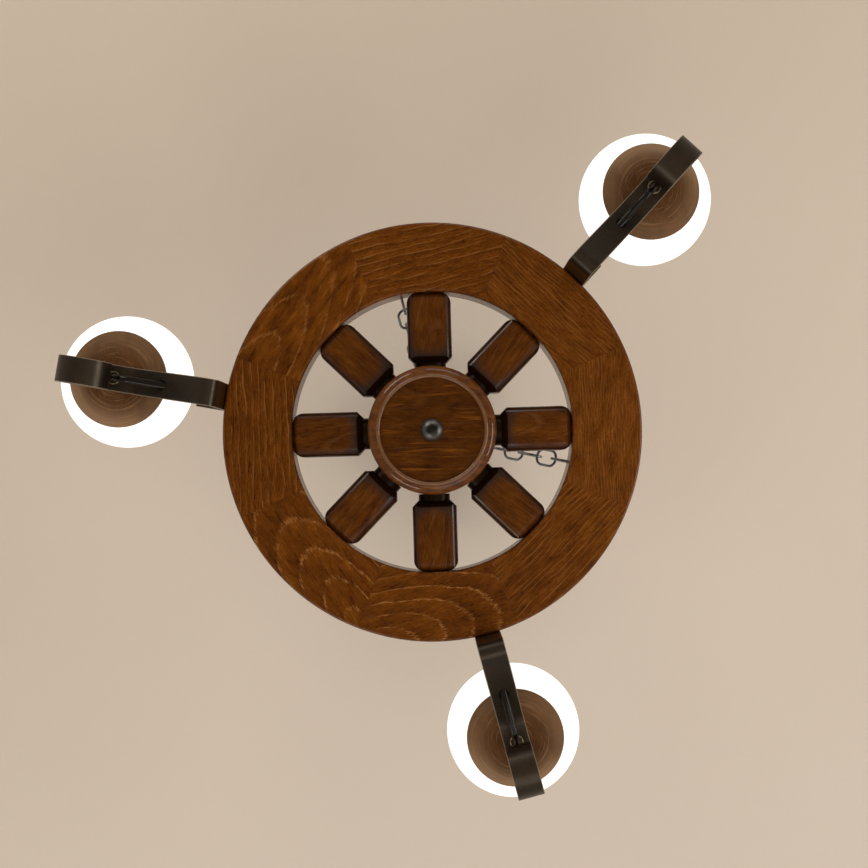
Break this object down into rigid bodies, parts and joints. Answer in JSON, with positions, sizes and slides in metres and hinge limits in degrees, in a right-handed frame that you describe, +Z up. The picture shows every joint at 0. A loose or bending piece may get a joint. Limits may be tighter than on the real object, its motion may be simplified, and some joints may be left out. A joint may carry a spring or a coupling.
{
  "type": "wagon wheel chandelier",
  "caption": "Wooden wagon wheel chandelier on three chains, with flat iron scroll arms carrying turned wooden cups and opal glass ball shades",
  "frame": {"origin": "middle of the ceiling face of the ceiling bar, on the wheel's axis", "axes": "+Z up, square to the ceiling; +X along the ceiling bar"},
  "size_m": [0.6424, 0.6539, 0.3804],
  "materials": {
    "rim_walnut": "gloss-varnished walnut-stained wood, straight and flame grain",
    "spoke_walnut": "gloss-varnished dark walnut-stained wood",
    "hub_walnut": "gloss-varnished dark walnut-stained wood",
    "cup_wood": "satin turned wood with fine end grain",
    "black_iron": "satin black paint on flat iron",
    "dark_steel": "dark blued steel",
    "zinc_steel": "zinc-plated steel",
    "chain_steel": "dark grey drawn wire",
    "stem_brass": "pale brass tube",
    "porcelain": "glazed white porcelain",
    "opal_glass": "lit opal glass",
    "lit_bulb": "frosted lit bulb",
    "flex_sheath": "glossy black flex sheath",
    "black_enamel": "satin black enamel",
    "terminal_plastic": "moulded terminal block"
  },
  "bodies": {
    "ceiling": {"ceiling_bar": "zinc_steel", "ceiling_hook": "chain_steel", "hook_nut": "zinc_steel", "canopy": "black_enamel", "canopy_nut": "black_enamel"},
    "ring": {"top_ring": "chain_steel"},
    "wheel": {"felloe_1": "rim_walnut", "felloe_2": "rim_walnut", "felloe_3": "rim_walnut", "felloe_4": "rim_walnut", "felloe_5": "rim_walnut", "felloe_6": "rim_walnut", "felloe_7": "rim_walnut", "felloe_8": "rim_walnut", "spoke_1": "spoke_walnut", "spoke_2": "spoke_walnut", "spoke_3": "spoke_walnut", "spoke_4": "spoke_walnut", "spoke_5": "spoke_walnut", "spoke_6": "spoke_walnut", "spoke_7": "spoke_walnut", "spoke_8": "spoke_walnut", "felloe_dowels": "rim_walnut", "hub_core": "hub_walnut", "hub_face": "hub_walnut", "hub_bolt": "zinc_steel", "hub_dome_nut": "dark_steel", "hub_back_nut": "zinc_steel", "arm_strap_1": "black_iron", "arm_strap_2": "black_iron", "arm_strap_3": "black_iron", "arm_screws": "black_iron", "cup_1": "cup_wood", "cup_2": "cup_wood", "cup_3": "cup_wood", "stem_1": "stem_brass", "stem_2": "stem_brass", "stem_3": "stem_brass", "lampholder_1": "porcelain", "lampholder_2": "porcelain", "lampholder_3": "porcelain", "flex_1": "flex_sheath", "flex_2": "flex_sheath", "flex_3": "flex_sheath", "eye_screws": "chain_steel", "chain_1": "chain_steel", "chain_2": "chain_steel", "chain_3": "chain_steel", "junction_base": "black_enamel", "junction_cover": "black_enamel", "terminal_block": "terminal_plastic", "cover_gland": "black_enamel"},
    "globe_1": {"globe_1": "opal_glass"},
    "bulb_1": {"bulb_1": "lit_bulb"},
    "globe_2": {"globe_2": "opal_glass"},
    "bulb_2": {"bulb_2": "lit_bulb"},
    "globe_3": {"globe_3": "opal_glass"},
    "bulb_3": {"bulb_3": "lit_bulb"}
  },
  "joints": [
    {"name": "ring_swing", "type": "hinge", "parent": "ceiling", "child": "ring", "pos_m": [0, 0, -0.075], "axis": [0.9781, 0.2079, 0], "range_deg": [-10, 10]},
    {"name": "wheel_swing", "type": "hinge", "parent": "ring", "child": "wheel", "pos_m": [0, 0, -0.1062], "axis": [-0.2079, 0.9781, 0], "range_deg": [-10, 10]},
    {"name": "globe_1_lift", "type": "slide", "parent": "wheel", "child": "globe_1", "axis": [0, 0, 1], "range_m": [0, 0.13]},
    {"name": "bulb_1_turn", "type": "hinge", "parent": "wheel", "child": "bulb_1", "pos_m": [0.21065, -0.2315, -0.24086], "axis": [0, 0, 1], "range_deg": [0, 1080]},
    {"name": "globe_2_lift", "type": "slide", "parent": "wheel", "child": "globe_2", "axis": [0, 0, 1], "range_m": [0, 0.13]},
    {"name": "bulb_2_turn", "type": "hinge", "parent": "wheel", "child": "bulb_2", "pos_m": [0.07944, 0.2924, -0.24086], "axis": [0, 0, 1], "range_deg": [0, 1080]},
    {"name": "globe_3_lift", "type": "slide", "parent": "wheel", "child": "globe_3", "axis": [0, 0, 1], "range_m": [0, 0.13]},
    {"name": "bulb_3_turn", "type": "hinge", "parent": "wheel", "child": "bulb_3", "pos_m": [-0.3018, -0.05051, -0.24086], "axis": [0, 0, 1], "range_deg": [0, 1080]}
  ]
}
